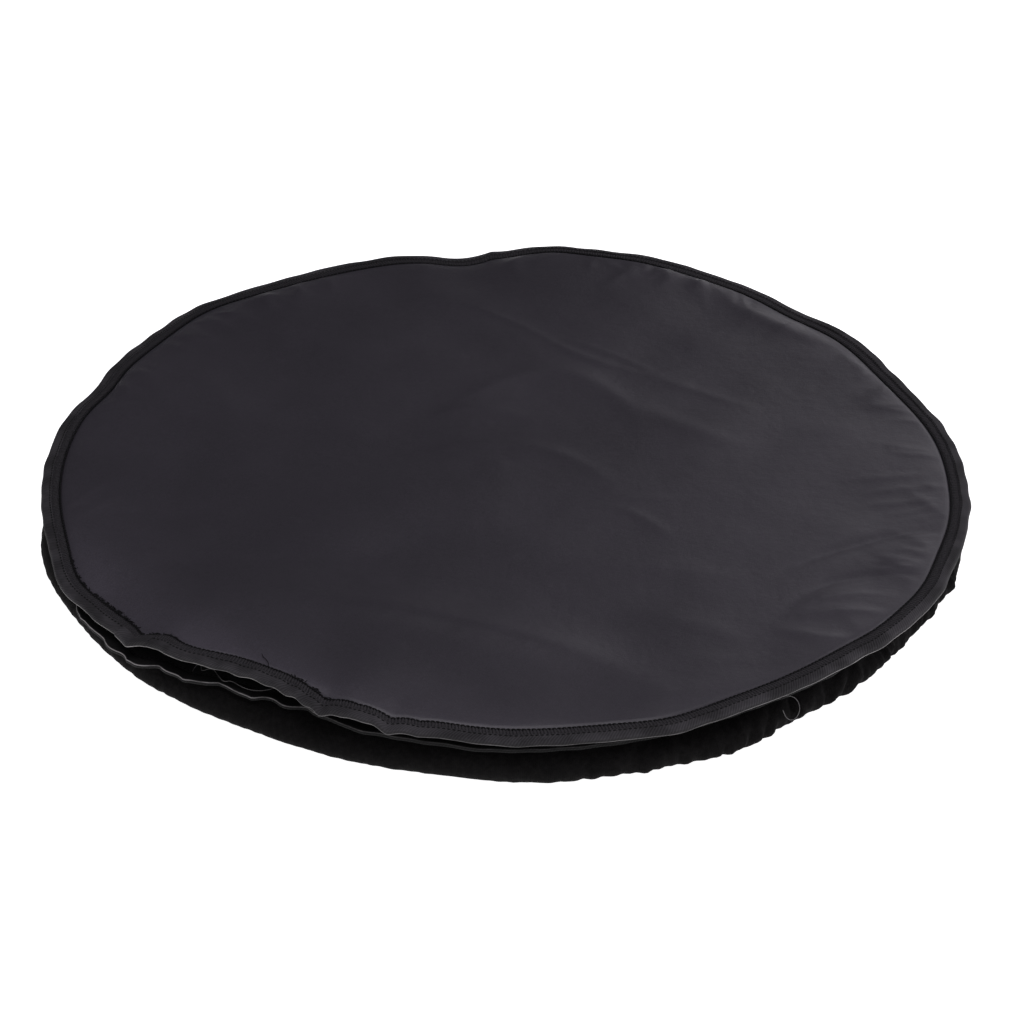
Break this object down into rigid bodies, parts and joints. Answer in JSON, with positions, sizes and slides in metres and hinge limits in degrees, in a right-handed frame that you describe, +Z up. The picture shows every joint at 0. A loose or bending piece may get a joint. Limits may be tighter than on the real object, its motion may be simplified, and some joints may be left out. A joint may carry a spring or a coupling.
{
  "type": "spare tire cover",
  "caption": "Round soft cover for a spare wheel, folded flat: coated front panel with taped seams, a side band folded inwards and an elastic back hem.",
  "frame": {"origin": "centre of the round cover, on the floor under it", "axes": "+Z up through the middle of the front panel, which faces up; -Y towards the viewer; the rings are concentric with Z"},
  "size_m": [0.7159, 0.716, 0.0434],
  "materials": {
    "coated_fabric": "satin polyurethane-coated cloth, softly wrinkled",
    "band_fabric": "coated cloth, semi-matt",
    "lining": "thin plain-weave lining",
    "wadding": "soft non-woven wadding",
    "binding_tape": "twill-woven binding tape, slightly worn along its fold",
    "skirt_fabric": "matt, slightly napped cloth",
    "elastic": "braided elastic",
    "thread": "spun polyester thread"
  },
  "bodies": {
    "rear": {"sidewall_lower": "band_fabric", "rear_overlock": "thread", "rear_binding": "binding_tape", "rear_seam_stitch": "thread", "rear_topstitch": "thread", "skirt_wall": "skirt_fabric", "skirt_underside": "skirt_fabric", "skirt_join_stitch": "thread", "hem_casing": "skirt_fabric", "hem_stitch": "thread", "elastic_band": "elastic", "elastic_bartack": "thread"},
    "front": {"front_panel": "coated_fabric", "panel_wadding": "wadding", "panel_lining": "lining", "front_overlock": "thread", "front_binding": "binding_tape", "front_seam_stitch": "thread", "front_topstitch": "thread", "sidewall_upper": "band_fabric"}
  },
  "joints": [
    {"name": "sidewall_unfold", "type": "slide", "parent": "rear", "child": "front", "axis": [0, 0, 1], "range_m": [0, 0.1]}
  ]
}
